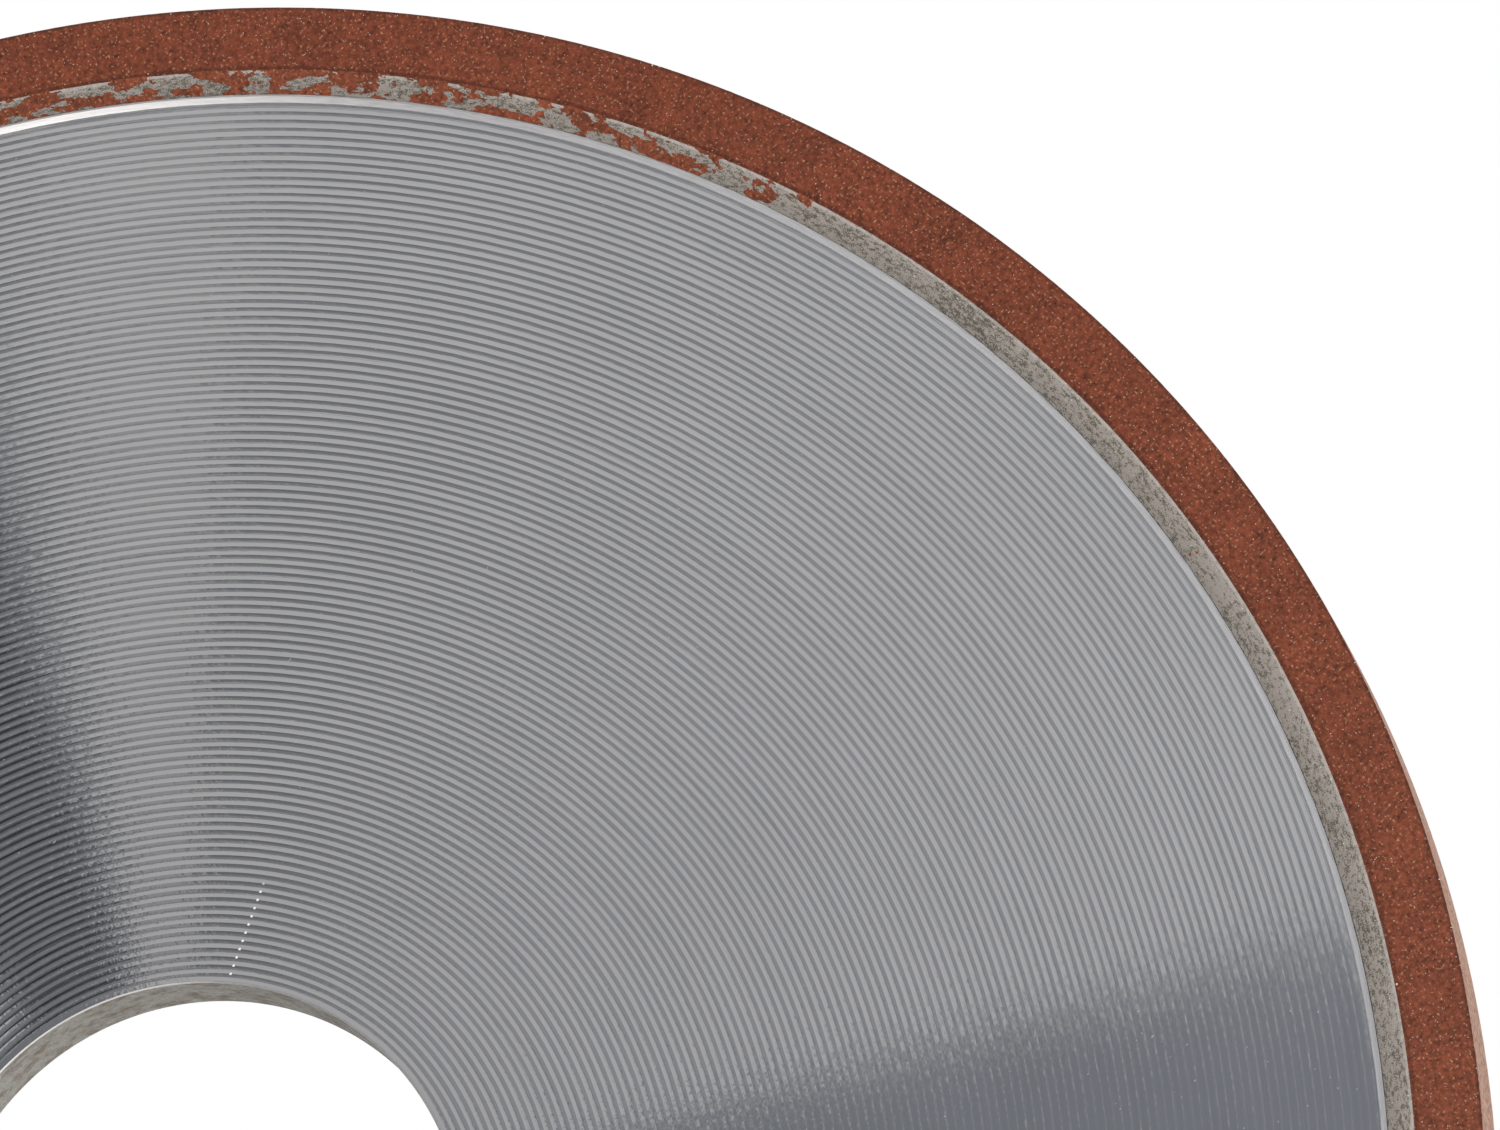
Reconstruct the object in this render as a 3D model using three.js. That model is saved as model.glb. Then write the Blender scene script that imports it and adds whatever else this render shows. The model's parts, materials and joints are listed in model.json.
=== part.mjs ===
// A flat diamond grinding wheel: a turned aluminium core, a pressed backing ring round it,
// and a resin-bond diamond rim outside that. Millimetres. The wheel turns about the Y axis,
// its front face looks towards -Y, and the origin is on the axis, midway between the faces.
import * as THREE from "three";

// Overall sizes
const OUTER_DIAMETER = 150;
const RIM_WIDTH = 5.5; // along the axis, over the abrasive

// Radial depth of the layers, from the outside in
const ABRASIVE_DEPTH = 3.9;
const BACKING_DEPTH = 1.5;

// Aluminium core
const BORE_DIAMETER = 32;
const CORE_WIDTH = 4.7; // between the two turned faces
const CORE_LIP = 0.15; // unturned land left at the edge of each turned face
const STEP_CHAMFER = 0.25;
const BORE_CHAMFER = 0.25;

// Keying groove that locks the backing ring on the core
const KEY_DEPTH = 0.8;
const KEY_MOUTH = 2.2;
const KEY_FLOOR = 1.2;

// Edges and fits
const RIM_EDGE_BREAK = 0.12;
const BOND_LINE = 0.02; // radial thickness of each bond
const SEGMENTS = 120; // round the axis, a multiple of four so that the box is the true diameter

const outerRadius = OUTER_DIAMETER / 2;
const abrasiveInner = outerRadius - ABRASIVE_DEPTH;
const backingOuter = abrasiveInner - BOND_LINE;
const backingInner = backingOuter - BACKING_DEPTH;
const coreOuter = backingInner - BOND_LINE;

// Turns half an outline, given as [radius, distance from the middle plane] from the outside in,
// into one closed ring about the Y axis, with its front half the mirror image of its back half.
function turned(halfOutline) {
  const back = halfOutline.map(([r, y]) => new THREE.Vector2(r, y));
  const front = halfOutline.map(([r, y]) => new THREE.Vector2(r, -y)).reverse();
  return new THREE.LatheGeometry([...back, ...front, back[0].clone()], SEGMENTS);
}

// One side of the keying groove, from its mouth to its floor, in a cylinder of the given radius.
function keyEdge(radius) {
  return [
    [radius, KEY_MOUTH / 2],
    [radius - KEY_DEPTH, KEY_FLOOR / 2],
  ];
}

// Disc with a bore, two turned faces sunk below a narrow outer lip, and the keying groove.
function aluminiumCore() {
  const bore = BORE_DIAMETER / 2;
  const face = CORE_WIDTH / 2;
  const land = RIM_WIDTH / 2;
  const stepTop = coreOuter - CORE_LIP;
  const stepFoot = stepTop - STEP_CHAMFER;
  return turned([
    ...keyEdge(coreOuter).reverse(),
    [coreOuter, land],
    [stepTop, land],
    [stepFoot, land - STEP_CHAMFER],
    [stepFoot, face],
    [bore + BORE_CHAMFER, face],
    [bore, face - BORE_CHAMFER],
  ]);
}

// Ring of pressed, metal-filled resin with the ridge that fills the keying groove.
function backingRing() {
  const land = RIM_WIDTH / 2;
  return turned([
    [backingOuter, land],
    [backingInner, land],
    ...keyEdge(backingInner),
  ]);
}

// Abrasive ring, with its two outer corners broken.
function diamondRim() {
  const land = RIM_WIDTH / 2;
  return turned([
    [outerRadius, land - RIM_EDGE_BREAK],
    [outerRadius - RIM_EDGE_BREAK, land],
    [abrasiveInner, land],
  ]);
}

function piece(name, geometry, color, roughness, metalness) {
  const material = new THREE.MeshStandardMaterial({ color, roughness, metalness });
  const mesh = new THREE.Mesh(geometry, material);
  mesh.name = name;
  return mesh;
}

const wheel = new THREE.Group();
wheel.add(
  piece("aluminium_core", aluminiumCore(), 0x9a999b, 0.35, 1),
  piece("backing_ring", backingRing(), 0x8e857c, 0.8, 0.2),
  piece("diamond_rim", diamondRim(), 0x7f4b39, 0.75, 0),
);

export default wheel;
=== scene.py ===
"""A flat diamond grinding wheel: turned aluminium core, pressed backing ring and resin-bond rim."""

import json
import math
from collections import namedtuple

import bmesh
import bpy
from mathutils import Matrix, Vector


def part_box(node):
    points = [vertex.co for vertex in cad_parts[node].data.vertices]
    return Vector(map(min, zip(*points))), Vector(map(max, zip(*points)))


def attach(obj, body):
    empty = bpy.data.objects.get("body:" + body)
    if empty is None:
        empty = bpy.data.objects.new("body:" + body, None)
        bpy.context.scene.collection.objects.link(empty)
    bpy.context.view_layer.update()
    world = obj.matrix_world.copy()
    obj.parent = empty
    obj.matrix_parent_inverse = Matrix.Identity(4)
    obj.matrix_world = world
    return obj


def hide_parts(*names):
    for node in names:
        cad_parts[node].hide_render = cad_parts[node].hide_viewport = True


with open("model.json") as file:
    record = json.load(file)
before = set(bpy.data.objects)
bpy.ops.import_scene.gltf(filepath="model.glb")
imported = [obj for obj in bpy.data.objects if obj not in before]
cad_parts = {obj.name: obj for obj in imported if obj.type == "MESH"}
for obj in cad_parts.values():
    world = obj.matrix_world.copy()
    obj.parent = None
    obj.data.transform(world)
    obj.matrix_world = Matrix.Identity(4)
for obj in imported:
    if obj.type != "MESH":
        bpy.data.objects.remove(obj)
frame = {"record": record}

bl_info = {
    "name": "Diamond Grinding Wheel",
    "version": (1, 0, 0),
    "blender": (4, 5, 0),
    "location": "View3D > Sidebar > Wheel",
    "description": "Builds a flat resin-bond diamond grinding wheel and a plain studio round it",
    "category": "Object",
}

MM = 0.001
FULL_TURN = 2 * math.pi
FRONT, BACK = -1, 1  # the way a face looks along Y
BODY = "root"
WELD = 0.004 * MM  # points of the fine meshes that lie closer than this become one
FACE_METAL, BORE_METAL, EDGE_METAL = range(3)  # the core's materials, in their order
BACK_TURN = 2.1  # radians between the front's smears and the back's
GRIT_SHARE = 0.6  # height of the crystals over the resin, as a share of its sunk depth
MIRROR_CENTRE = (-0.231, 0.213)  # (right, high) of the direction that the level face mirrors
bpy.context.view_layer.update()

# Sizes that the frame settles
RIM_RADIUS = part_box("diamond_rim")[1].x
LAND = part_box("diamond_rim")[1].y  # from the middle plane to the unturned faces
BACKING_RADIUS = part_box("backing_ring")[1].x
CORE_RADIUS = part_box("aluminium_core")[1].x
FACE_LEVEL = next(
    abs(mount["pos_m"][1])
    for mount in frame["record"]["mounts"]
    if mount["name"] == "front_clamp_face"
)


# ---------------------------------------------------------------- settings


def length(name, description, default):
    return bpy.props.FloatProperty(
        name=name, description=description, default=default, min=0, precision=5,
        subtype="DISTANCE", unit="LENGTH",
    )


def angle(name, description, degrees):
    return bpy.props.FloatProperty(
        name=name, description=description, default=math.radians(degrees), subtype="ANGLE",
    )


def colour(name, description, default):
    return bpy.props.FloatVectorProperty(
        name=name, description=description, default=default, size=3, min=0, max=1,
        subtype="COLOR",
    )


def count(name, description, default):
    return bpy.props.IntProperty(name=name, description=description, default=default, min=1)


def amount(name, description, default):
    return bpy.props.FloatProperty(name=name, description=description, default=default, min=0)


class CoreSettings(bpy.types.PropertyGroup):
    bore_radius: length("Bore radius", "Radius of the spindle hole", 16 * MM)
    bore_chamfer: length("Bore chamfer", "Width of the chamfer at each end of the bore", 0.08 * MM)
    lip: length("Lip", "Width of the unturned land outside each turned face", 0.10 * MM)
    step_width: length("Step width", "Width of the slope from the land down to the face", 0.26 * MM)
    pitch: length("Feed", "Distance between two turns of the facing spiral", 0.5007 * MM)
    groove_depth: length("Groove depth", "Height from groove floor to ridge", 0.024 * MM)
    start_angle: angle("Start angle", "Where the first ridge of the spiral lies", 136)
    key_depth: length("Key depth", "Depth of the keying groove in the outer edge", 0.8 * MM)
    key_mouth: length("Key mouth", "Width of the keying groove at its mouth", 2.2 * MM)
    key_floor: length("Key floor", "Width of the keying groove at its floor", 1.2 * MM)
    segments: count("Segments", "Flats round the axle", 192)
    samples: count("Samples", "Flats across one groove", 4)
    face_colour: colour("Face colour", "Reflection colour of the turned metal", (0.74, 0.735, 0.735))
    bore_colour: colour("Bore colour", "Colour of the bore wall", (0.46, 0.447, 0.405))
    stain_colour: colour("Stain colour", "Colour of the stains in the bore", (0.25, 0.205, 0.158))
    scrape_radius: length("Scrape radius", "Radius where the row of nicks begins", 16.1 * MM)
    scrape_angle: angle("Scrape angle", "Angle where the row of nicks begins", 127.8)
    scrape_length: length("Scrape length", "Length of the row of nicks", 6.7 * MM)
    scrape_lean: angle("Scrape lean", "Direction in which the row of nicks runs", 115.3)


class BackingSettings(bpy.types.PropertyGroup):
    bond_line: length("Bond line", "Gap between neighbouring pieces", 0.02 * MM)
    sunk: length("Sunk", "How far the ring lies below the rim's faces", 0.04 * MM)
    grain_size: length("Grain size", "Size of the pressed grains", 0.2 * MM)
    grain_height: length("Grain height", "Depth of the dips between the grains", 0.02 * MM)
    spacing: length("Mesh spacing", "Distance between mesh points", 0.3 * MM)
    light_colour: colour("Light colour", "Colour of the bright grains", (0.34, 0.30, 0.265))
    dark_colour: colour("Dark colour", "Colour of the dark grains", (0.115, 0.10, 0.072))


class RimSettings(bpy.types.PropertyGroup):
    edge_radius: length("Edge radius", "Rounding of the two outer corners", 0.06 * MM)
    sunk: length("Sunk", "How far the resin lies below the full size of the rim", 0.03 * MM)
    grain_size: length("Grain size", "Size of the moulded grain", 0.3 * MM)
    grain_height: length("Grain height", "Depth of the moulded grain", 0.012 * MM)
    spacing: length("Mesh spacing", "Distance between mesh points", 0.34 * MM)
    resin_colour: colour("Resin colour", "Colour of the moulded resin", (0.197, 0.053, 0.0255))
    # The paler outer surface: partly the ground resin, partly a painted sheen.
    trued_sheen_colour: colour("Trued colour", "Colour of the ground outer surface", (0.42, 0.25, 0.185))


class GritSettings(bpy.types.PropertyGroup):
    density: amount("Density", "Crystals for each square millimetre", 1.1)
    smallest: length("Smallest", "Radius of the smallest crystal", 0.03 * MM)
    largest: length("Largest", "Radius of the largest crystal", 0.11 * MM)
    seed: count("Seed", "Seed of the scatter", 7)
    crystal_colour: colour("Crystal colour", "Colour of the crystals", (0.62, 0.42, 0.30))


class SmearSettings(bpy.types.PropertyGroup):
    film: length("Film", "Thickness of the resin film", 0.03 * MM)
    patch_size: length("Patch size", "Length of a typical patch", 1.9 * MM)
    spacing: length("Mesh spacing", "Distance between mesh points", 0.1 * MM)
    zone_angle: angle("Zone angle", "Middle of the smeared stretch of the front", 135)
    zone_spread: angle("Zone spread", "Half the length of the smeared stretch", 31)
    far_zone_angle: angle("Far zone angle", "Middle of the second smeared stretch", 290)
    far_zone_spread: angle("Far zone spread", "Half the length of the second stretch", 22)
    smear_colour: colour("Smear colour", "Colour of the thin resin film", (0.215, 0.062, 0.030))


class StageSettings(bpy.types.PropertyGroup):
    floor_size: length("Floor size", "Side of the floor", 9.0)
    floor_colour: colour("Floor colour", "Colour of the floor", (0.93, 0.93, 0.93))
    rig_turn: angle("Rig turn", "Turn of camera and lights together about the axle", 45)
    camera_right: length("Camera right", "Camera's place right of the axle before the turn", 0.1623)
    camera_low: length("Camera low", "Camera's place below the axle before the turn", 0.1495)
    camera_away: length("Camera away", "Camera's distance from the middle plane", 0.6691)
    aim_right: length("Aim right", "Aimed-at point's place right of the axle", 0.0328)
    aim_high: length("Aim high", "Aimed-at point's place above the axle", 0.0392)
    lens: amount("Lens", "Focal length in millimetres on a 36 mm sensor", 292.96)
    softbox_distance: length("Softbox distance", "Distance of the softbox from the wheel", 1.0)
    softbox_rise: amount("Softbox rise", "Height of the softbox as a share of its distance", 0.57)
    softbox_size: length("Softbox size", "Side of the softbox", 0.7)
    softbox_power: amount("Softbox power", "Power of the softbox in watts", 0.57)


SETTINGS = {
    "wheel_core": CoreSettings,
    "wheel_backing": BackingSettings,
    "wheel_rim": RimSettings,
    "wheel_grit": GritSettings,
    "wheel_smear": SmearSettings,
    "wheel_stage": StageSettings,
}


# ---------------------------------------------------------------- node helpers


class Wire:
    """A node's output that takes part in Python arithmetic by adding Math nodes to its tree."""

    def __init__(self, maker, socket):
        self.maker = maker
        self.socket = socket

    def __add__(self, other):
        return self.maker.maths("ADD", self, other)

    def __sub__(self, other):
        return self.maker.maths("SUBTRACT", self, other)

    def __rsub__(self, other):
        return self.maker.maths("SUBTRACT", other, self)

    def __mul__(self, other):
        return self.maker.maths("MULTIPLY", self, other)

    def __truediv__(self, other):
        return self.maker.maths("DIVIDE", self, other)

    def __rtruediv__(self, other):
        return self.maker.maths("DIVIDE", other, self)

    def __pow__(self, other):
        return self.maker.maths("POWER", self, other)

    __radd__ = __add__
    __rmul__ = __mul__

    def ramp(self, low, high, to_low=0.0, to_high=1.0):
        """The value eased from to_low to to_high as it goes from low to high."""
        inputs = {"Value": self, "From Min": low, "From Max": high,
                  "To Min": to_low, "To Max": to_high}
        settings = {"interpolation_type": "SMOOTHSTEP"}
        return self.maker.add("ShaderNodeMapRange", settings, inputs)

    def between(self, rise_low, rise_high, fall_low, fall_high):
        """1 between a rise and a fall of the value, eased to 0 on both sides."""
        return self.ramp(rise_low, rise_high) * self.ramp(fall_low, fall_high, 1, 0)


class Maker:
    """Adds nodes to one tree."""

    def __init__(self, tree):
        self.tree = tree

    def feed(self, socket, value):
        if isinstance(value, Wire):
            self.tree.links.new(value.socket, socket)
        else:
            socket.default_value = value

    def add(self, kind, settings=None, inputs=None, output=0):
        """A new node, with its settings made first, then its inputs set or linked."""
        node = self.tree.nodes.new(kind)
        for name, value in (settings or {}).items():
            setattr(node, name, value)
        for key, value in (inputs or {}).items():
            self.feed(node.inputs[key], value)
        return Wire(self, node.outputs[output]) if node.outputs else None

    def maths(self, operation, *values):
        return self.add("ShaderNodeMath", {"operation": operation}, dict(enumerate(values)))

    def vector(self, x, y, z):
        return self.add("ShaderNodeCombineXYZ", None, {"X": x, "Y": y, "Z": z})

    def split(self, vector):
        """The three parts of a vector."""
        first = self.add("ShaderNodeSeparateXYZ", None, {0: vector})
        node = first.socket.node
        return [Wire(self, node.outputs[part]) for part in "XYZ"]

    def scale(self, vector, number):
        """The vector or colour times a number."""
        inputs = {0: vector, "Scale": number}
        return self.add("ShaderNodeVectorMath", {"operation": "SCALE"}, inputs)

    def noise(self, vector, detail=2.0, roughness=0.5):
        """Smooth noise about 0.5, one bump for each unit of the vector."""
        inputs = {"Vector": vector, "Scale": 1.0, "Detail": detail, "Roughness": roughness}
        return self.add("ShaderNodeTexNoise", {"noise_dimensions": "3D"}, inputs)

    def grains(self, place, size, detail=2.0, roughness=0.5):
        """Noise with grains of one size."""
        return self.noise(self.scale(place, 1 / size), detail, roughness)

    def blend(self, factor, first, second):
        """A colour between two colours."""
        inputs = {0: factor, 6: first, 7: second}
        return self.add("ShaderNodeMix", {"data_type": "RGBA"}, inputs, output=2)


def rgba(rgb):
    return (*rgb, 1.0)


# ---------------------------------------------------------------- mesh helpers


def link(name, mesh):
    piece = bpy.data.objects.new(name, mesh)
    bpy.context.scene.collection.objects.link(piece)
    return piece


def keep(piece, slot, *nodes):
    """Fastens a finished piece to the wheel, in place of the named solids."""
    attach(piece, BODY)
    if nodes:
        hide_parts(*nodes)
    return piece


def new_shape_tree(name, inputs):
    """An empty geometry tree with named inputs, given as (label, socket type)."""
    tree = bpy.data.node_groups.new(name, "GeometryNodeTree")
    for label, kind in inputs:
        tree.interface.new_socket(label, in_out="INPUT", socket_type=kind)
    tree.interface.new_socket("Geometry", in_out="OUTPUT", socket_type="NodeSocketGeometry")
    source = tree.nodes.new("NodeGroupInput")
    maker = Maker(tree)
    return maker, {label: Wire(maker, source.outputs[label]) for label, _ in inputs}


def finish_tree(maker, geometry, material, smooth=True):
    """Ends a geometry tree: instances made real, shading set, material set."""
    solid = maker.add("GeometryNodeRealizeInstances", None, {"Geometry": geometry})
    shaded = maker.add("GeometryNodeSetShadeSmooth", None,
                       {"Geometry": solid, "Shade Smooth": smooth})
    painted = maker.add("GeometryNodeSetMaterial", None,
                        {"Geometry": shaded, "Material": material})
    maker.add("NodeGroupOutput", None, {"Geometry": painted})
    return maker.tree


def grow(name, tree, values, mesh=None):
    """The plain mesh that a geometry tree makes from its inputs and, if given, a mesh."""
    holder = link(name + "_growing", mesh or bpy.data.meshes.new(name + "_seed"))
    modifier = holder.modifiers.new("shape", "NODES")
    modifier.node_group = tree
    for item in tree.interface.items_tree:
        if item.in_out == "INPUT" and item.name in values:
            modifier[item.identifier] = values[item.name]
    graph = bpy.context.evaluated_depsgraph_get()
    grown = bpy.data.meshes.new_from_object(holder.evaluated_get(graph))
    bpy.data.objects.remove(holder)
    grown.name = name
    return grown


def arc(centre, radius, start, end, steps):
    """Points on an arc, with its angles in degrees."""
    angles = [math.radians(start + (end - start) * i / steps) for i in range(steps + 1)]
    return [(centre[0] + radius * math.cos(a), centre[1] + radius * math.sin(a)) for a in angles]


def divided(outline, spacing):
    """The closed outline with points no further apart than the spacing."""
    dense = []
    for (r0, y0), (r1, y1) in zip(outline, outline[1:] + outline[:1]):
        steps = max(1, math.ceil(math.hypot(r1 - r0, y1 - y0) / spacing))
        dense += [(r0 + (r1 - r0) * i / steps, y0 + (y1 - y0) * i / steps) for i in range(steps)]
    return dense


def turned(mesh, outline, segments, start=0.0, closed=True):
    """Fills a mesh with an outline of (radius, y) points turned about the Y axis."""
    points = []
    for j in range(segments):
        turn = start + FULL_TURN * j / segments
        points += [(r * math.cos(turn), y, r * math.sin(turn)) for r, y in outline]
    rows = len(outline)
    faces = []
    for j in range(segments):
        here, there = j * rows, (j + 1) % segments * rows
        for i in range(rows if closed else rows - 1):
            k = (i + 1) % rows
            faces.append((here + i, here + k, there + k, there + i))
    mesh.from_pydata(points, [], faces)
    return mesh


def tidy(mesh, weld=1e-6, crease=None):
    """Welds doubles, turns the faces outwards and shades smooth, sharp at the crease angle."""
    work = bmesh.new()
    work.from_mesh(mesh)
    bmesh.ops.remove_doubles(work, verts=work.verts, dist=weld)
    bmesh.ops.recalc_face_normals(work, faces=work.faces)
    for face in work.faces:
        face.smooth = True
    work.to_mesh(mesh)
    work.free()
    if crease is not None:
        mesh.set_sharp_from_angle(angle=math.radians(crease))
    return mesh


# ---------------------------------------------------------------- finishes


def new_finish(name, **constants):
    """A material, its node maker, its shader node and the place of the shaded point."""
    material = bpy.data.materials.new(name)
    material.use_nodes = True
    material.node_tree.nodes.clear()
    maker = Maker(material.node_tree)
    shader = maker.add("ShaderNodeBsdfPrincipled", None, constants)
    maker.add("ShaderNodeOutputMaterial", None, {"Surface": shader})
    place = maker.add("ShaderNodeTexCoord", None, None, output="Object")
    return material, maker, shader.socket.node, place


# Distance from the axle, height along it, and cosine and sine of the angle round it
AboutAxle = namedtuple("AboutAxle", "radius height across up")


def round_axle(maker, place):
    """Where the shaded point lies about the axle."""
    x, y, z = maker.split(place)
    radius = (x * x + z * z) ** 0.5
    return AboutAxle(radius, y, x / radius, z / radius)


def ring_marks(maker, axle, width, turns, detail, roughness=0.5):
    """Noise in rings on a face. More turns give shorter marks round the axle."""
    across, up = axle.across * turns, axle.up * turns
    return maker.noise(maker.vector(axle.radius / width, across, up), detail, roughness)


def wall_marks(maker, axle, width, turns, detail, roughness):
    """Noise in rings on a wall. More turns give shorter marks round the axle."""
    across, up = axle.across * turns, axle.up * turns
    return maker.noise(maker.vector(across, axle.height / width, up), detail, roughness)


def dented(maker, node, height, distance):
    """Feeds a height into the shader's normal."""
    inputs = {"Height": height, "Distance": distance}
    maker.feed(node.inputs["Normal"], maker.add("ShaderNodeBump", None, inputs))


def scrape(settings, maker, place):
    """Mask of a row of nicks, painted as white glints: one on each ridge of the front face, along a
    straight scrape.
    """
    axle = round_axle(maker, place)
    x, _, z = maker.split(place)
    lean, start = settings.scrape_lean, settings.scrape_angle
    aside = x - settings.scrape_radius * math.cos(start)
    above = z - settings.scrape_radius * math.sin(start)
    along = aside * math.cos(lean) + above * math.sin(lean)
    off = maker.maths("ABSOLUTE", above * math.cos(lean) - aside * math.sin(lean))
    around = (maker.maths("ARCTAN2", z, x) - settings.start_angle) / FULL_TURN
    inner = settings.bore_radius + settings.bore_chamfer
    half_groove, whole_turns = 0.5, 20  # the turns keep the count above zero
    grooves = (axle.radius - inner) / settings.pitch + around + (whole_turns + half_groove)
    from_ridge = maker.maths("ABSOLUTE", maker.maths("FRACT", grooves) - half_groove)
    ridge = from_ridge.ramp(0.10, 0.16, 1, 0)
    end = settings.scrape_length
    within = along.between(0.0, 0.5 * MM, end - 1.2 * MM, end)
    front = maker.maths("LESS_THAN", axle.height, 0.0)
    return ridge * within * off.ramp(0.05 * MM, 0.08 * MM, 1, 0) * front


def turned_aluminium(settings):
    """Faced metal: fine tool lines, chatter along each groove, faint stains and small nicks, with a
    row of white spots on the ridges that are painted glints.
    """
    material, maker, node, place = new_finish("turned_aluminium")
    axle = round_axle(maker, place)
    lines = ring_marks(maker, axle, width=0.07 * MM, turns=2.5, detail=1.0)
    chatter = ring_marks(maker, axle, width=0.4 * MM, turns=38, detail=2.0, roughness=0.6)
    bands = ring_marks(maker, axle, width=1.3 * MM, turns=1.5, detail=1.0)
    cloud = maker.grains(place, size=9 * MM, detail=3.0, roughness=0.6)
    nicks = maker.grains(place, size=0.2 * MM, detail=0.0).ramp(0.83, 0.90)
    row = scrape(settings, maker, place)
    outward = axle.radius / CORE_RADIUS * 0.16 + 0.76
    shade = outward + lines * 0.1 + (cloud - 0.5) * 0.10 + (bands - 0.5) * 0.06 + nicks * 0.2
    grey = maker.scale(tuple(settings.face_colour), shade)
    # Painted glints: the nicks of the scrape are white and not metal, so they shine like highlights
    # on the ridges.
    painted_glint_white = (0.95, 0.95, 0.95, 1.0)
    maker.feed(node.inputs["Base Color"], maker.blend(row, grey, painted_glint_white))
    maker.feed(node.inputs["Metallic"], 1 - row)
    maker.feed(node.inputs["Roughness"], 0.035 + cloud * 0.03 + nicks * 0.3 + row * 0.5)
    dented(maker, node, lines + chatter * 1.2, 0.0038 * MM)
    return material


def reamed_bore(settings):
    """Bore wall: granular and scored round the hole, with brown stains and specks."""
    material, maker, node, place = new_finish("reamed_bore", Metallic=0.5)
    axle = round_axle(maker, place)
    scores = wall_marks(maker, axle, width=0.22 * MM, turns=26, detail=3.0, roughness=0.65)
    grain = maker.grains(place, size=0.24 * MM, detail=3.0, roughness=0.7)
    stain = wall_marks(maker, axle, width=0.9 * MM, turns=14, detail=4.0, roughness=0.7)
    speck = maker.grains(place, size=0.3 * MM, detail=1.0).ramp(0.70, 0.78)
    speck_brown = (0.34, 0.19, 0.11, 1.0)
    cover = (stain + (scores - 0.5) * 0.5 + (grain - 0.5) * 0.4).ramp(0.42, 0.66)
    tone = maker.blend(cover, rgba(settings.bore_colour), rgba(settings.stain_colour))
    tone = maker.blend(speck * 0.6, tone, speck_brown)
    shade = scores * 0.6 + grain * 1.15 - 0.02
    maker.feed(node.inputs["Base Color"], maker.scale(tone, shade))
    maker.feed(node.inputs["Roughness"], 0.36 + scores * 0.25)
    dented(maker, node, scores + grain, 0.06 * MM)
    return material


def cut_edge(settings):
    """Clean metal of the lip and the step, bright, and of the chamfer at the bore, duller."""
    material, maker, node, place = new_finish("cut_edge", Metallic=1.0)
    axle = round_axle(maker, place)
    chatter = ring_marks(maker, axle, width=0.1 * MM, turns=60, detail=2.0)
    base = tuple(min(1.0, c * 1.2) for c in settings.face_colour)
    dulled = axle.radius.ramp(settings.bore_radius * 1.1, settings.bore_radius * 2, 0.58, 1.0)
    shade = (0.85 + chatter * 0.3) * dulled
    maker.feed(node.inputs["Base Color"], maker.scale(base, shade))
    maker.feed(node.inputs["Roughness"], 0.25 + chatter * 0.15)
    dented(maker, node, chatter, 0.02 * MM)
    return material


def pressed_backing(settings):
    """Metal-filled resin as it left the mould: light and dark grains, with a pale line painted along
    its outer edge as a highlight.
    """
    material, maker, node, place = new_finish("pressed_backing", Metallic=0.0)
    radius, _, across, up = round_axle(maker, place)
    # Painted highlight: a pale band along the outer edge of the ring.
    edge_highlight = radius.ramp(BACKING_RADIUS - 0.24 * MM, BACKING_RADIUS - 0.12 * MM)
    arcs = maker.vector(across * BACKING_RADIUS * 0.5, radius, up * BACKING_RADIUS * 0.5)
    grains = maker.grains(arcs, size=settings.grain_size, roughness=0.6)
    fine = maker.grains(place, size=settings.grain_size / 2.6, detail=1.0)
    cloud = maker.grains(place, size=5 * MM)
    flecks = maker.grains(place, size=settings.grain_size / 1.7, detail=0.0).ramp(0.74, 0.82)
    light = rgba(settings.light_colour)
    dark = rgba(settings.dark_colour)
    # Colour of the painted highlight at the edge.
    highlight_pale = (0.62, 0.58, 0.54, 1.0)
    speckle = (grains + (fine - 0.5) * 0.8 + (cloud - 0.5) * 0.35).ramp(0.34, 0.56)
    # Bright flecks in the grain, and the painted edge highlight.
    bright = maker.maths("MAXIMUM", flecks, edge_highlight * 0.35)
    tone = maker.blend(bright, maker.blend(speckle, dark, light), highlight_pale)
    outward = radius.ramp(CORE_RADIUS, BACKING_RADIUS, 0.80, 1.04)
    maker.feed(node.inputs["Base Color"], maker.scale(tone, outward))
    maker.feed(node.inputs["Roughness"], 0.55 + fine * 0.3)
    dented(maker, node, grains + fine * 0.5, 0.05 * MM)
    return material


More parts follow.
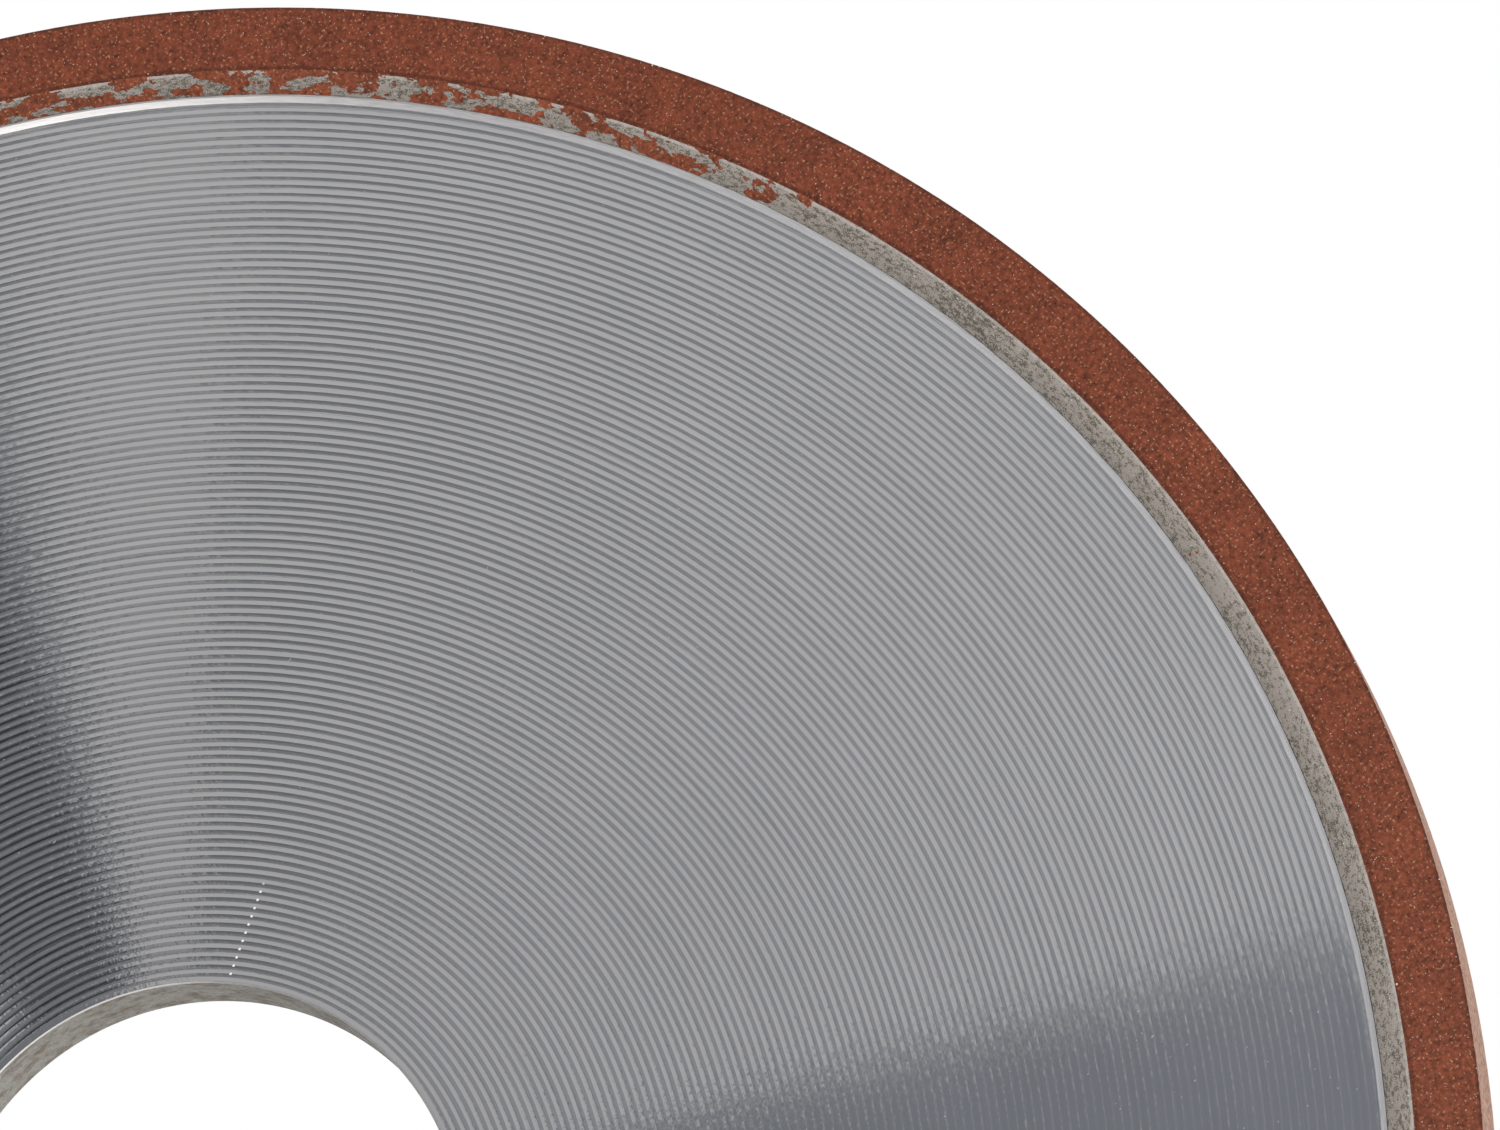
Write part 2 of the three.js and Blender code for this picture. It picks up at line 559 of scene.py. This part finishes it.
def bonded_resin(name, base, trued_sheen):
    """Matt moulded resin, mottled and speckled, paler on the ground outer surface, partly from the
    grinding and partly as a painted sheen.
    """
    material, maker, node, place = new_finish(name, **{"Specular IOR Level": 0.25})
    axle = radius, _, across, up = round_axle(maker, place)
    cloud = maker.grains(place, size=2.2 * MM, detail=3.0, roughness=0.6)
    mottle = maker.grains(place, size=0.33 * MM, roughness=0.6)
    grain = maker.grains(place, size=0.17 * MM, roughness=0.6)
    dots = maker.grains(place, size=0.16 * MM, detail=0.0)
    ground = radius.ramp(RIM_RADIUS - 0.065 * MM, RIM_RADIUS - 0.045 * MM)
    # Painted shade: a dark line wanders along the edge towards the backing ring, where the joint
    # lies in shade.
    joint_shade_radius = BACKING_RADIUS + 0.16 * MM
    wander = (cloud - 0.5) * 0.3 * MM + (grain - 0.5) * 0.12 * MM
    from_joint_shade = maker.maths("ABSOLUTE", radius + wander - joint_shade_radius)
    joint_shade = 1 - from_joint_shade.ramp(0.05 * MM, 0.16 * MM)
    # Painted shade: the colour deepens slowly towards one side of the wheel, where less sheen lies
    # on the resin.
    shaded_side = (up * 0.64 - across * 0.77).ramp(-0.2, 0.9)
    shaded_base = tuple(c * part for c, part in zip(base, (0.90, 0.80, 0.74)))
    body = maker.blend(shaded_side, rgba(base), rgba(shaded_base))
    # The ground outer surface: its paler colour is partly the ground resin and partly a painted
    # sheen.
    body = maker.blend(ground, body, rgba(trued_sheen))
    shaded = maker.scale(body, cloud * 0.55 + mottle * 1.9 + grain * 1.3 - 0.88)
    pale = (0.52, 0.29, 0.17, 1.0)
    black = (0.035, 0.014, 0.010, 1.0)
    lit = maker.blend(dots.ramp(0.64, 0.80) * 0.6, shaded, pale)
    # Painted shade: the resin face darkens towards its outer corner, but not on the ground outer
    # surface.
    edge_shade = radius.ramp(RIM_RADIUS - 0.30 * MM, RIM_RADIUS - 0.12 * MM) * (1 - ground) * 0.45
    # Dark dots in the resin, and the painted shade along the joint with the backing ring.
    dark = maker.maths("MAXIMUM", (1 - dots).ramp(0.70, 0.82) * 0.6, joint_shade * 0.33)
    tone = maker.blend(maker.maths("MAXIMUM", dark, edge_shade), lit, black)
    streaks = wall_marks(maker, axle, width=0.09 * MM, turns=30, detail=3.0, roughness=0.6)
    smear = wall_marks(maker, axle, width=1.2 * MM, turns=14, detail=3.0, roughness=0.6)
    stripe = maker.maths("MAXIMUM", 1 - ground, 0.55 + streaks * 0.6 + smear * 0.35)
    maker.feed(node.inputs["Base Color"], maker.scale(tone, stripe))
    maker.feed(node.inputs["Roughness"], 0.62 + grain * 0.25)
    dented(maker, node, grain + dots * 0.6 + ground * streaks, 0.05 * MM)
    return material


def diamond_crystal(settings):
    """Pale, glossy crystals, each a little different."""
    material, maker, node, place = new_finish("diamond_crystal", Roughness=0.25, IOR=2.0)
    shift = maker.grains(place, size=0.3 * MM, detail=0.0).ramp(0.3, 0.7)
    base = rgba(settings.crystal_colour)
    cream = (0.85, 0.74, 0.62, 1.0)
    maker.feed(node.inputs["Base Color"], maker.blend(shift, base, cream))
    return material


def pale_floor(settings):
    """Smooth pale studio floor."""
    material, maker, node, place = new_finish(
        "pale_floor", Roughness=0.9, **{"Emission Strength": 1.0})
    x, y, _ = maker.split(place)
    # A faint glow far from the wheel hides where the floor meets the surroundings.
    glow = ((x * x + y * y) ** 0.5).ramp(0.4, 2.2, 0.0, 0.12)
    maker.feed(node.inputs["Emission Color"], maker.vector(glow, glow, glow))
    soft = maker.noise(maker.scale(place, 3.0))
    base = rgba(settings.floor_colour)
    dimmer = tuple(0.985 * c for c in base[:3]) + (1.0,)
    maker.feed(node.inputs["Base Color"], maker.blend(soft, base, dimmer))
    return material


# ---------------------------------------------------------------- core


def spiral_face_tree():
    """A flat ring cut by one spiral groove, like a faced disc, with plain circles as its edges."""
    maker, given = new_shape_tree("spiral_face", [
        ("Inner Radius", "NodeSocketFloat"), ("Outer Radius", "NodeSocketFloat"),
        ("Level", "NodeSocketFloat"), ("Pitch", "NodeSocketFloat"),
        ("Depth", "NodeSocketFloat"), ("Start Angle", "NodeSocketFloat"),
        ("Facing", "NodeSocketFloat"), ("Segments", "NodeSocketInt"),
        ("Samples", "NodeSocketInt"), ("Material", "NodeSocketMaterial"),
    ])
    inner, outer, pitch = given["Inner Radius"], given["Outer Radius"], given["Pitch"]
    turns = maker.maths("CEIL", (outer - inner) / pitch) + 1
    grid = maker.add("GeometryNodeMeshGrid", None, {
        "Size X": 1.0, "Size Y": 1.0, "Vertices X": given["Segments"] + 1,
        "Vertices Y": turns * given["Samples"] + 1,
    })
    x, y, _ = maker.split(maker.add("GeometryNodeInputPosition"))
    turn = x + 0.5
    groove = (y + 0.5) * turns
    radius = maker.maths("MAXIMUM", inner, maker.maths("MINIMUM", outer,
                         inner + pitch * (groove - turn)))
    nudge = 1e-4  # keeps points on a ridge from falling to either side of it
    across = maker.maths("FRACT", groove + nudge) * 2 - 1
    fade = maker.maths("MINIMUM", (radius - inner) / pitch, (outer - radius) / pitch)
    drop = (1 - across * across) * maker.maths("MINIMUM", 1.0, fade) * given["Depth"]
    around = given["Start Angle"] + turn * FULL_TURN
    facing = given["Facing"]
    place = maker.vector(
        maker.maths("COSINE", around) * radius * facing * -1,
        (given["Level"] - drop) * facing,
        maker.maths("SINE", around) * radius,
    )
    shaped = maker.add("GeometryNodeSetPosition", None, {"Geometry": grid, "Position": place})
    welded = maker.add("GeometryNodeMergeByDistance", None,
                       {"Geometry": shaped, "Distance": WELD})
    return finish_tree(maker, welded, given["Material"])


def core_half(name, facing, core, tree, metals):
    """One half of the core, from the middle plane to its turned face."""
    lip_inner = CORE_RADIUS - core.lip
    foot = lip_inner - core.step_width
    rise = LAND - FACE_LEVEL
    ease, sag, toe = 0.16, 0.03, 0.2  # shares of the step that round its foot
    face_inner = core.bore_radius + core.bore_chamfer
    face_outer = foot - toe * core.step_width
    key_floor_radius = CORE_RADIUS - core.key_depth
    # From the face down the bore, out along the middle plane and over the lip back to the face
    outline = [
        (face_inner, FACE_LEVEL),
        (core.bore_radius, FACE_LEVEL - core.bore_chamfer),
        (core.bore_radius, 0.0),
        (key_floor_radius, 0.0),
        (key_floor_radius, core.key_floor / 2),
        (CORE_RADIUS, core.key_mouth / 2),
        (CORE_RADIUS, LAND),
        (lip_inner, LAND),
        (foot + ease * core.step_width, FACE_LEVEL + ease * rise),
        (foot, FACE_LEVEL + sag * rise),
        (face_outer, FACE_LEVEL),
    ]
    sides = bpy.data.meshes.new(name + "_sides")
    turned(sides, [(r, facing * y) for r, y in outline], core.segments, closed=False)
    kinds = [EDGE_METAL, BORE_METAL] + [EDGE_METAL] * (len(outline) - 3)
    for side in sides.polygons:
        side.material_index = kinds[side.index % len(kinds)]
    face = grow(name + "_face", tree, {
        "Inner Radius": face_inner, "Outer Radius": face_outer, "Level": FACE_LEVEL,
        "Pitch": core.pitch, "Depth": core.groove_depth, "Start Angle": core.start_angle,
        "Facing": float(facing), "Segments": core.segments, "Samples": core.samples,
        "Material": metals[FACE_METAL],
    })
    work = bmesh.new()
    work.from_mesh(face)
    for flat in work.faces:
        flat.material_index = FACE_METAL
    # The sides are turned so that their points meet those of the face.
    turn = core.start_angle if facing == FRONT else -core.start_angle
    sides.transform(Matrix.Rotation(-turn, 4, "Y"))
    work.from_mesh(sides)
    whole = bpy.data.meshes.new(name)
    work.to_mesh(whole)
    work.free()
    for metal in metals:
        whole.materials.append(metal)
    tidy(whole, weld=WELD, crease=12)
    return link(name, whole)


def make_core(core):
    metals = (turned_aluminium(core), reamed_bore(core), cut_edge(core))
    tree = spiral_face_tree()
    for name, facing in (("core_front_half", FRONT), ("core_back_half", BACK)):
        keep(core_half(name, facing, core, tree, metals), "turned_aluminium", "aluminium_core")


# ---------------------------------------------------------------- rings


def roughened_tree():
    """Sinks the points of a mesh by a grainy amount, never lifting one."""
    maker, given = new_shape_tree("roughened", [
        ("Geometry", "NodeSocketGeometry"), ("Grain Size", "NodeSocketFloat"),
        ("Grain Height", "NodeSocketFloat"), ("Material", "NodeSocketMaterial"),
    ])
    place = maker.add("GeometryNodeInputPosition")
    bumps = maker.grains(place, size=given["Grain Size"], roughness=0.6).ramp(0.25, 0.75)
    normal = maker.add("GeometryNodeInputNormal")
    offset = maker.scale(normal, (bumps - 1) * given["Grain Height"])
    moved = maker.add("GeometryNodeSetPosition", None,
                      {"Geometry": given["Geometry"], "Offset": offset})
    return finish_tree(maker, moved, given["Material"])


def rough_ring(name, outline, spacing, grain_size, grain_height, material):
    """A turned ring with a grainy surface."""
    mesh = bpy.data.meshes.new(name + "_smooth")
    widest = max(r for r, _ in outline)
    quarter = round(FULL_TURN * widest / spacing / 4)
    turned(mesh, divided(outline, spacing), 4 * quarter)
    tidy(mesh)
    return grow(name, roughened_tree(), {
        "Grain Size": grain_size, "Grain Height": grain_height, "Material": material,
    }, mesh)


def make_backing(backing, core):
    face = LAND - backing.sunk
    inner = CORE_RADIUS + backing.bond_line
    half = [
        (BACKING_RADIUS, face),
        (inner, face),
        (inner, core.key_mouth / 2),
        (inner - core.key_depth, core.key_floor / 2),
    ]
    outline = half + [(r, -y) for r, y in reversed(half)]
    mesh = rough_ring("backing_ring_pressed", outline, backing.spacing, backing.grain_size,
                      backing.grain_height, pressed_backing(backing))
    mesh.set_sharp_from_angle(angle=math.radians(50))
    keep(link("backing_ring_pressed", mesh), "pressed_backing", "backing_ring")


def make_rim(rim, backing):
    face = LAND - rim.sunk
    outer = RIM_RADIUS - rim.sunk
    inner = BACKING_RADIUS + backing.bond_line
    corner = (outer - rim.edge_radius, face - rim.edge_radius)
    half = [*arc(corner, rim.edge_radius, 0, 90, 4), (inner, face)]
    outline = half + [(r, -y) for r, y in reversed(half)]
    resin = bonded_resin("bonded_resin", rim.resin_colour, rim.trued_sheen_colour)
    mesh = rough_ring("diamond_rim_resin", outline, rim.spacing, rim.grain_size,
                      rim.grain_height, resin)
    keep(link("diamond_rim_resin", mesh), "diamond_resin", "diamond_rim")


# ---------------------------------------------------------------- grit


def grit_tree():
    """Crystals scattered over a surface and sunk in it until only their tips stand proud."""
    maker, given = new_shape_tree("grit", [
        ("Geometry", "NodeSocketGeometry"), ("Inner Radius", "NodeSocketFloat"),
        ("Density", "NodeSocketFloat"), ("Smallest", "NodeSocketFloat"),
        ("Largest", "NodeSocketFloat"), ("Proud", "NodeSocketFloat"),
        ("Seed", "NodeSocketInt"), ("Material", "NodeSocketMaterial"),
    ])
    x, _, z = maker.split(maker.add("GeometryNodeInputPosition"))
    outside = maker.maths("GREATER_THAN", (x * x + z * z) ** 0.5, given["Inner Radius"])
    scatter = maker.add("GeometryNodeDistributePointsOnFaces", None, {
        "Mesh": given["Geometry"], "Selection": outside, "Density": given["Density"],
        "Seed": given["Seed"],
    })
    normal = Wire(maker, scatter.socket.node.outputs["Normal"])
    crystal = maker.add("GeometryNodeMeshIcoSphere", None, {"Radius": 1.0, "Subdivisions": 1})
    size = maker.add("FunctionNodeRandomValue", {"data_type": "FLOAT"},
                     {2: 0.0, 3: 1.0, "Seed": given["Seed"]}, output=1)
    spread = given["Smallest"] + size ** 2.5 * (given["Largest"] - given["Smallest"])
    turn = maker.add("FunctionNodeRandomValue", {"data_type": "FLOAT_VECTOR"},
                     {1: (FULL_TURN,) * 3, "Seed": given["Seed"] + 1})
    sunk = maker.scale(normal, given["Proud"] - spread)
    points = maker.add("GeometryNodeSetPosition", None, {"Geometry": scatter, "Offset": sunk})
    placed = maker.add("GeometryNodeInstanceOnPoints", None, {
        "Points": points, "Instance": crystal, "Rotation": turn,
        "Scale": maker.vector(spread, spread, spread),
    })
    return finish_tree(maker, placed, given["Material"], smooth=False)


def make_grit(grit, rim, backing):
    resin = bpy.data.objects["diamond_rim_resin"]
    mesh = grow("diamond_grit", grit_tree(), {
        "Inner Radius": BACKING_RADIUS + backing.bond_line + rim.edge_radius,
        "Density": grit.density / MM**2, "Smallest": grit.smallest, "Largest": grit.largest,
        "Proud": rim.sunk * GRIT_SHARE, "Seed": grit.seed, "Material": diamond_crystal(grit),
    }, resin.data.copy())
    keep(link("diamond_grit", mesh), "diamond_resin")


# ---------------------------------------------------------------- resin smears


def smear_tree():
    """A thin film of resin: a ragged border along the rim and patches over the backing ring."""
    maker, given = new_shape_tree("resin_smear", [
        ("Inner Radius", "NodeSocketFloat"), ("Border Radius", "NodeSocketFloat"),
        ("Outer Radius", "NodeSocketFloat"), ("Level", "NodeSocketFloat"),
        ("Film", "NodeSocketFloat"), ("Patch Size", "NodeSocketFloat"),
        ("Spacing", "NodeSocketFloat"), ("Zone Angle", "NodeSocketFloat"),
        ("Zone Spread", "NodeSocketFloat"), ("Far Zone Angle", "NodeSocketFloat"),
        ("Far Zone Spread", "NodeSocketFloat"), ("Facing", "NodeSocketFloat"),
        ("Material", "NodeSocketMaterial"),
    ])
    inner, outer, spacing = given["Inner Radius"], given["Outer Radius"], given["Spacing"]
    around = maker.maths("CEIL", outer * FULL_TURN / spacing)
    rows = maker.maths("CEIL", (outer - inner) / spacing)
    grid = maker.add("GeometryNodeMeshGrid", None, {
        "Size X": 1.0, "Size Y": 1.0, "Vertices X": around + 1, "Vertices Y": rows + 1,
    })
    x, y, _ = maker.split(maker.add("GeometryNodeInputPosition"))
    turn = (x + 0.5) * FULL_TURN
    radius = inner + (y + 0.5) * (outer - inner)
    across, up = maker.maths("COSINE", turn), maker.maths("SINE", turn)

    def zone(angle_label, spread_label):
        closeness = maker.maths("COSINE", turn - given[angle_label])
        limit = maker.maths("COSINE", given[spread_label])
        return (closeness - limit).ramp(-0.06, 0.06)

    zones = maker.maths("MAXIMUM", zone("Zone Angle", "Zone Spread"),
                        zone("Far Zone Angle", "Far Zone Spread"))
    # Patches are longer round the ring than across it, and differ from one face to the other.
    squeeze, shift = 2.2, 0.05
    spot = maker.vector(across * outer, radius * squeeze + given["Facing"] * shift, up * outer)
    scaled = maker.scale(spot, 1 / given["Patch Size"])
    threshold = 0.72 - zones * 0.21
    patches = maker.noise(scaled, detail=5.0, roughness=0.62) - threshold
    ragged = maker.noise(maker.scale(scaled, 3.0), detail=3.0, roughness=0.6)
    border = (radius - given["Border Radius"]) / (1.2 * MM) + (ragged - 0.5) * 0.16
    cover = maker.maths("MAXIMUM", patches, border)
    steepness = 24
    rise = maker.maths("MAXIMUM", -1.0, maker.maths("MINIMUM", 1.0, cover * steepness))
    height = given["Level"] + rise * given["Film"]
    place = maker.vector(across * radius, height * given["Facing"], up * radius)
    bare = maker.maths("LESS_THAN", rise, -0.99)
    # The mask is stored before the points move, because it is worked out from the flat grid.
    stored = maker.add("GeometryNodeStoreNamedAttribute", {"data_type": "FLOAT", "domain": "POINT"},
                       {"Geometry": grid, "Name": "bare", "Value": bare})
    shaped = maker.add("GeometryNodeSetPosition", None, {"Geometry": stored, "Position": place})
    read = maker.add("GeometryNodeInputNamedAttribute", {"data_type": "FLOAT"}, {"Name": "bare"})
    kept = maker.add("GeometryNodeDeleteGeometry", {"domain": "FACE"},
                     {"Geometry": shaped, "Selection": maker.maths("GREATER_THAN", read, 0.99)})
    welded = maker.add("GeometryNodeMergeByDistance", None,
                       {"Geometry": kept, "Distance": WELD})
    return finish_tree(maker, welded, given["Material"])


def make_smears(smear, backing, rim):
    material = bonded_resin("smeared_resin", smear.smear_colour, rim.trued_sheen_colour)
    tree = smear_tree()
    sides = (("resin_smear_front", FRONT, 0.0), ("resin_smear_back", BACK, BACK_TURN))
    for name, facing, turn in sides:
        mesh = grow(name, tree, {
            "Inner Radius": CORE_RADIUS + backing.bond_line,
            "Border Radius": BACKING_RADIUS + 0.04 * MM,
            "Outer Radius": BACKING_RADIUS + 0.06 * MM,
            "Level": LAND - backing.sunk, "Film": smear.film, "Patch Size": smear.patch_size,
            "Spacing": smear.spacing, "Zone Angle": smear.zone_angle + turn,
            "Zone Spread": smear.zone_spread, "Far Zone Angle": smear.far_zone_angle + turn,
            "Far Zone Spread": smear.far_zone_spread, "Facing": float(facing),
            "Material": material,
        })
        piece = link(name, mesh)
        thicken(piece, 2 * smear.film, facing)
        keep(piece, "diamond_resin")


def thicken(piece, thickness, facing):
    """Gives a sheet a closed body on the side away from its face."""
    work = bmesh.new()
    work.from_mesh(piece.data)
    # Faces round a point where two patches only just touch are left out, so the walls can close.
    while pinched := [v for v in work.verts if sum(e.is_boundary for e in v.link_edges) > 2]:
        touching = {face for vert in pinched for face in vert.link_faces}
        bmesh.ops.delete(work, geom=list(touching), context="FACES")
    lid = list(work.faces)
    if lid[0].normal.y * facing < 0:
        bmesh.ops.reverse_faces(work, faces=lid)
    rim = [edge.link_loops[0] for edge in work.edges if edge.is_boundary]
    below = {vert: work.verts.new(vert.co - Vector((0, facing * thickness, 0)))
             for vert in list(work.verts)}
    walls = [(loop.vert, loop.link_loop_next.vert) for loop in rim]
    for face in lid:
        work.faces.new([below[vert] for vert in reversed(face.verts)])
    for start, end in walls:
        work.faces.new((end, start, below[start], below[end]))
    for face in work.faces:
        face.smooth = True
    work.to_mesh(piece.data)
    work.free()
    piece.data.set_sharp_from_angle(angle=math.radians(60))


# ---------------------------------------------------------------- stage


def rig_point(stage, right, high, away):
    """A point given before the turn of the rig, after that turn about the axle."""
    turned_round = Matrix.Rotation(-stage.rig_turn, 4, "Y")
    return turned_round @ Vector((right, -away, high))


def aimed(thing, place, target, up):
    """Puts a camera or light at a place, looking at the target, with its top towards up."""
    look = (target - place).normalized()
    side = look.cross(up).normalized()
    top = side.cross(look)
    turn = Matrix((side, top, -look)).transposed().to_4x4()
    thing.matrix_world = Matrix.Translation(place) @ turn


def make_camera(stage):
    data = bpy.data.cameras.new("view")
    data.lens = stage.lens
    camera = link("view", data)
    place = rig_point(stage, stage.camera_right, -stage.camera_low, stage.camera_away)
    target = rig_point(stage, stage.aim_right, stage.aim_high, LAND)
    aimed(camera, place, target, rig_point(stage, 0.0, 1.0, 0.0))
    bpy.context.scene.camera = camera


def make_softbox(stage):
    """A soft square light high in front of the wheel, aimed at its middle."""
    data = bpy.data.lights.new("softbox", "AREA")
    data.shape = "SQUARE"
    data.size = stage.softbox_size
    data.energy = stage.softbox_power
    light = link("softbox", data)
    distance = stage.softbox_distance
    away = math.sqrt(1 - stage.softbox_rise ** 2)
    place = rig_point(stage, 0.0, stage.softbox_rise * distance, away * distance)
    aimed(light, place, Vector((0, 0, 0)), rig_point(stage, 0.0, 1.0, 0.0))
    light.visible_camera = False
    light.visible_glossy = False


def mirrored_studio(maker, right, high, tilt):
    """Colour of what the metal mirrors: a dim middle with panels and dark flags round it.

    Right and high are direction cosines of the unturned rig, the same in front and behind. Tilt
    goes from 0 along the axle to 1 across it. A panel is a sector about the mirror's centre,
    given by its bearing in degrees and its reach.
    """
    aside, above = right - MIRROR_CENTRE[0], high - MIRROR_CENTRE[1]
    reach = (aside * aside + above * above) ** 0.5
    bearing = maker.maths("ARCTAN2", above, aside) / math.radians(1)

    # The dim middle: brighter on the left, darker at two flags, a little darker low down
    midway = reach.between(0.10, 0.28, 0.55, 0.68)
    glow = bearing.between(-170, -165, -142, -98)
    dip = bearing.between(-110, -96, -90, -88) * reach.ramp(0.08, 0.3)
    high_flag = bearing.between(102, 108, 128, 140) * midway
    low_flag = bearing.between(-81, -73, -58, -53) * midway
    near = 0.241 + glow * 0.12 - low_flag * 0.20 - high_flag * 0.205 - dip * 0.09
    chill = bearing.between(-8, 2, 12, 14) + bearing.ramp(-168, -166, 1, 0)
    cool = maker.vector(near * (0.945 - chill * 0.03), near * 0.98, near * (1.05 + chill * 0.05))

    # A wide panel at the upper right, fading in from the centre, and a narrow one below
    wide = bearing.between(11.5, 16.5, 100.5, 105) * reach.ramp(0.7, 0.9, 1, 0)
    wide = wide * reach.ramp(0.0, 0.07, 0.3, 1.0)
    narrow = bearing.between(-91, -88.5, -81, -78) * reach.ramp(0.5, 0.6, 1, 0)

    # Softer panels at the lower right, at the upper left and low down
    card = bearing.between(-56, -50, -12, 0) * reach.ramp(0.08, 0.22, 0.0, 0.36)
    fill = bearing.between(138, 148, 164, 172) * (
        reach.ramp(0.08, 0.22, 0.0, 0.14) + reach.ramp(0.3, 0.55, 0.0, 0.85))
    low = bearing.between(-104, -96, -74, -64) * reach.ramp(0.58, 0.7, 0.0, 0.4)
    low = low * tilt.ramp(0.42, 0.58, 1, 0)

    # The bright sides of the studio, brighter on the right
    sides = tilt.ramp(0.48, 0.68) * right.ramp(-0.36, -0.14, 0.36, 1.15)
    lamps = wide * (0.295 + reach * 0.09) + narrow * 0.14 + card + fill + low
    warm = maker.scale((1.045, 1.0, 0.965), lamps + sides)
    return maker.add("ShaderNodeVectorMath", {"operation": "ADD"}, {0: cool, 1: warm})


def make_sky(stage):
    """White surroundings, with a studio of panels in their place for what the metal mirrors."""
    world = bpy.data.worlds.new("studio")
    bpy.context.scene.world = world
    world.use_nodes = True
    world.node_tree.nodes.clear()
    maker = Maker(world.node_tree)
    toward = maker.add("ShaderNodeTexCoord", None, None, output="Generated")
    _, y, _ = maker.split(toward)
    right, high = (
        maker.add("ShaderNodeVectorMath", {"operation": "DOT_PRODUCT"},
                  {0: toward, 1: tuple(rig_point(stage, *axis, 0.0))}, output=1)
        for axis in ((1.0, 0.0), (0.0, 1.0))
    )
    tilt = maker.maths("ARCCOSINE", maker.maths("ABSOLUTE", y)) / math.radians(90)
    mirrored = mirrored_studio(maker, right, high, tilt)
    dim = maker.add("ShaderNodeBackground", None, {"Color": mirrored})
    white = maker.add("ShaderNodeBackground", None, {"Color": rgba((1.0, 1.0, 1.0))})
    glossy = maker.add("ShaderNodeLightPath", None, None, output="Is Glossy Ray")
    both = maker.add("ShaderNodeMixShader", None, {0: glossy, 1: white, 2: dim})
    maker.add("ShaderNodeOutputWorld", None, {"Surface": both})


def make_stage(stage):
    half = stage.floor_size / 2
    low = -RIM_RADIUS
    mesh = bpy.data.meshes.new("studio_floor")
    corners = [(-half, -half, low), (half, -half, low), (half, half, low), (-half, half, low)]
    mesh.from_pydata(corners, [], [(0, 1, 2, 3)])
    mesh.materials.append(pale_floor(stage))
    floor = link("studio_floor", mesh)
    floor.visible_glossy = False
    make_sky(stage)
    make_camera(stage)
    make_softbox(stage)
    bpy.context.scene.view_settings.view_transform = "Standard"


# ---------------------------------------------------------------- operators and panel


class WHEEL_OT_core(bpy.types.Operator):
    """Build the turned aluminium core"""

    bl_idname = "wheel.core"
    bl_label = "Aluminium Core"

    def execute(self, context):
        make_core(context.scene.wheel_core)
        return {"FINISHED"}


class WHEEL_OT_backing(bpy.types.Operator):
    """Build the pressed backing ring"""

    bl_idname = "wheel.backing"
    bl_label = "Backing Ring"

    def execute(self, context):
        make_backing(context.scene.wheel_backing, context.scene.wheel_core)
        return {"FINISHED"}


class WHEEL_OT_rim(bpy.types.Operator):
    """Build the resin of the diamond rim"""

    bl_idname = "wheel.rim"
    bl_label = "Diamond Rim"

    def execute(self, context):
        make_rim(context.scene.wheel_rim, context.scene.wheel_backing)
        return {"FINISHED"}


class WHEEL_OT_grit(bpy.types.Operator):
    """Scatter diamond crystals over the rim"""

    bl_idname = "wheel.grit"
    bl_label = "Diamond Grit"

    def execute(self, context):
        scene = context.scene
        make_grit(scene.wheel_grit, scene.wheel_rim, scene.wheel_backing)
        return {"FINISHED"}


class WHEEL_OT_smears(bpy.types.Operator):
    """Build the thin films of resin on the backing ring"""

    bl_idname = "wheel.smears"
    bl_label = "Resin Smears"

    def execute(self, context):
        scene = context.scene
        make_smears(scene.wheel_smear, scene.wheel_backing, scene.wheel_rim)
        return {"FINISHED"}


class WHEEL_OT_stage(bpy.types.Operator):
    """Build the floor, the lights and the camera"""

    bl_idname = "wheel.stage"
    bl_label = "Stage"

    def execute(self, context):
        make_stage(context.scene.wheel_stage)
        return {"FINISHED"}


class WHEEL_PT_panel(bpy.types.Panel):
    """Sizes, colours and build buttons of the grinding wheel"""

    bl_idname = "WHEEL_PT_panel"
    bl_label = "Diamond Grinding Wheel"
    bl_space_type = "VIEW_3D"
    bl_region_type = "UI"
    bl_category = "Wheel"

    def draw(self, context):
        for operator in OPERATORS:
            self.layout.operator(operator.bl_idname)
        for group, settings in SETTINGS.items():
            box = self.layout.box()
            for name in settings.__annotations__:
                box.prop(getattr(context.scene, group), name)


OPERATORS = (
    WHEEL_OT_core, WHEEL_OT_backing, WHEEL_OT_rim, WHEEL_OT_grit, WHEEL_OT_smears,
    WHEEL_OT_stage,
)
CLASSES = (*SETTINGS.values(), *OPERATORS, WHEEL_PT_panel)


def register():
    for cls in CLASSES:
        bpy.utils.register_class(cls)
    for name, settings in SETTINGS.items():
        setattr(bpy.types.Scene, name, bpy.props.PointerProperty(type=settings))


def unregister():
    for name in SETTINGS:
        delattr(bpy.types.Scene, name)
    for cls in reversed(CLASSES):
        bpy.utils.unregister_class(cls)


def main():
    register()
    bpy.ops.wheel.core()
    bpy.ops.wheel.backing()
    bpy.ops.wheel.rim()
    bpy.ops.wheel.grit()
    bpy.ops.wheel.smears()
    bpy.ops.wheel.stage()


if __name__ == "__main__":
    main()
